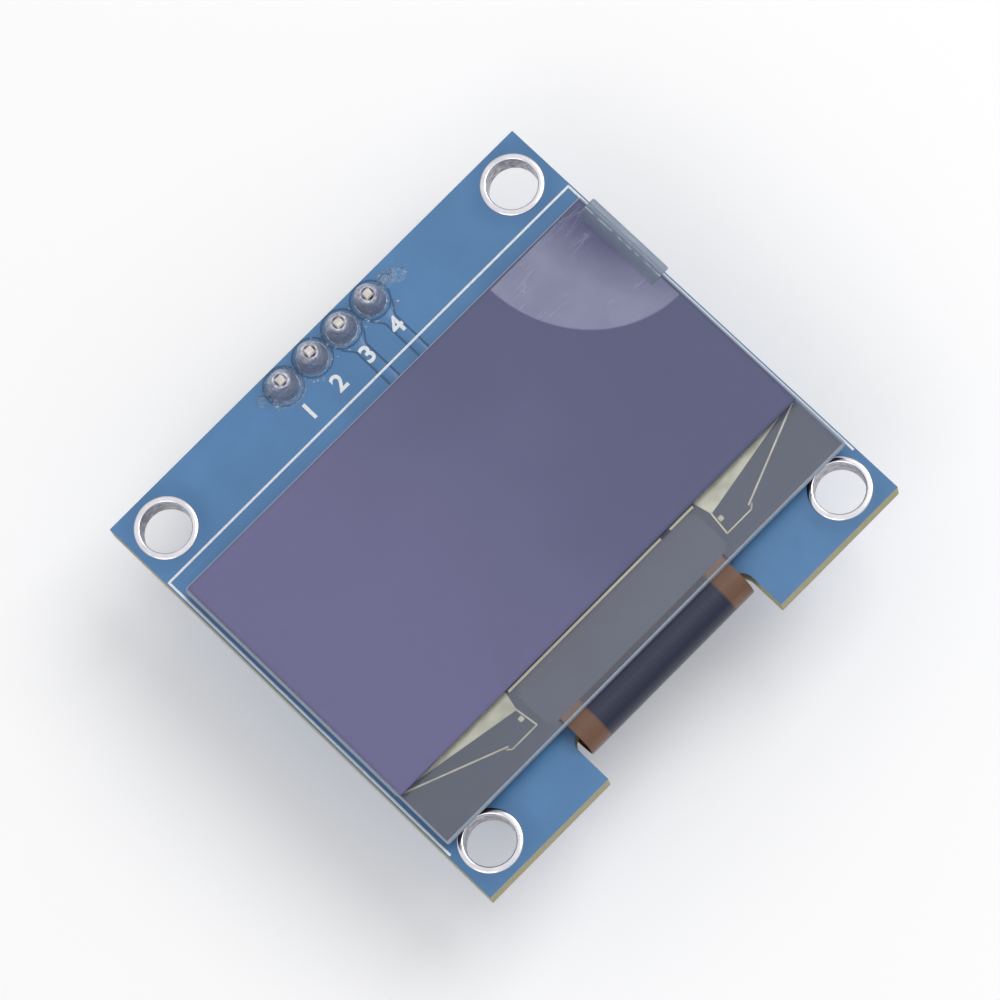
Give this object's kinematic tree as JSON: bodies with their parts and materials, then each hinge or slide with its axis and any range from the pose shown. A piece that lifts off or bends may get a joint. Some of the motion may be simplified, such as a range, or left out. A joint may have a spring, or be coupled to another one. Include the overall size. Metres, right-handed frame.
{
  "type": "oled display module",
  "caption": "Small glass OLED display panel taped to a blue circuit board with corner mounting holes, a header pin row and a soldered flex.",
  "frame": {"origin": "middle of the four mounting holes, on the rear faces of their tinned rings", "axes": "+X along the pin row, from the first pin to the last seen from the front; +Y towards the pin row; +Z out of the screen"},
  "size_m": [0.0354, 0.0336, 0.0124],
  "materials": {
    "solder_mask": "glossy blue solder mask over glass-fibre laminate",
    "tin_plating": "bright tin on copper",
    "solder": "dull grey solder with flux residue",
    "pin_metal": "tinned brass pins",
    "header_plastic": "moulded black nylon",
    "foam_tape": "white double-sided foam tape",
    "panel_glass": "thin clear display glass",
    "polarizer": "dark purplish polarizer film",
    "clear_film": "clear protective film",
    "tab_film": "translucent greenish pull tab",
    "silicon": "bare polished silicon",
    "bus_metal": "pale metal film on glass",
    "dark_seal": "dark sealing resin",
    "polyimide": "amber polyimide flex with dark conductors",
    "moulded_epoxy": "moulded black epoxy",
    "capacitor_ceramic": "tan fired ceramic",
    "resistor_coat": "black glass coat over alumina"
  },
  "bodies": {
    "root": {"cap_glass": "panel_glass", "capacitor_1": "capacitor_ceramic", "capacitor_2": "capacitor_ceramic", "capacitor_3": "capacitor_ceramic", "capacitor_4": "capacitor_ceramic", "capacitor_5": "capacitor_ceramic", "capacitor_terminals": "tin_plating", "circuit_board": "solder_mask", "contact_bus_left": "bus_metal", "contact_bus_right": "bus_metal", "diode_body": "moulded_epoxy", "diode_leads": "tin_plating", "driver_chip": "silicon", "flex_cable": "polyimide", "flex_solder": "solder", "front_glass": "panel_glass", "header_body": "header_plastic", "header_pin_1": "pin_metal", "header_pin_2": "pin_metal", "header_pin_3": "pin_metal", "header_pin_4": "pin_metal", "ledge_seal": "dark_seal", "mounting_ring_1": "tin_plating", "mounting_ring_2": "tin_plating", "mounting_ring_3": "tin_plating", "mounting_ring_4": "tin_plating", "panel_tape": "foam_tape", "pin_land_1": "tin_plating", "pin_land_2": "tin_plating", "pin_land_3": "tin_plating", "pin_land_4": "tin_plating", "polarizer": "polarizer", "protective_film": "clear_film", "pull_tab": "tab_film", "regulator_body": "moulded_epoxy", "regulator_legs": "tin_plating", "resistor_1": "resistor_coat", "resistor_2": "resistor_coat", "resistor_3": "resistor_coat", "resistor_4": "resistor_coat", "resistor_5": "resistor_coat", "resistor_terminals": "tin_plating", "solder_joint_1": "solder", "solder_joint_2": "solder", "solder_joint_3": "solder", "solder_joint_4": "solder"}
  },
  "joints": []
}
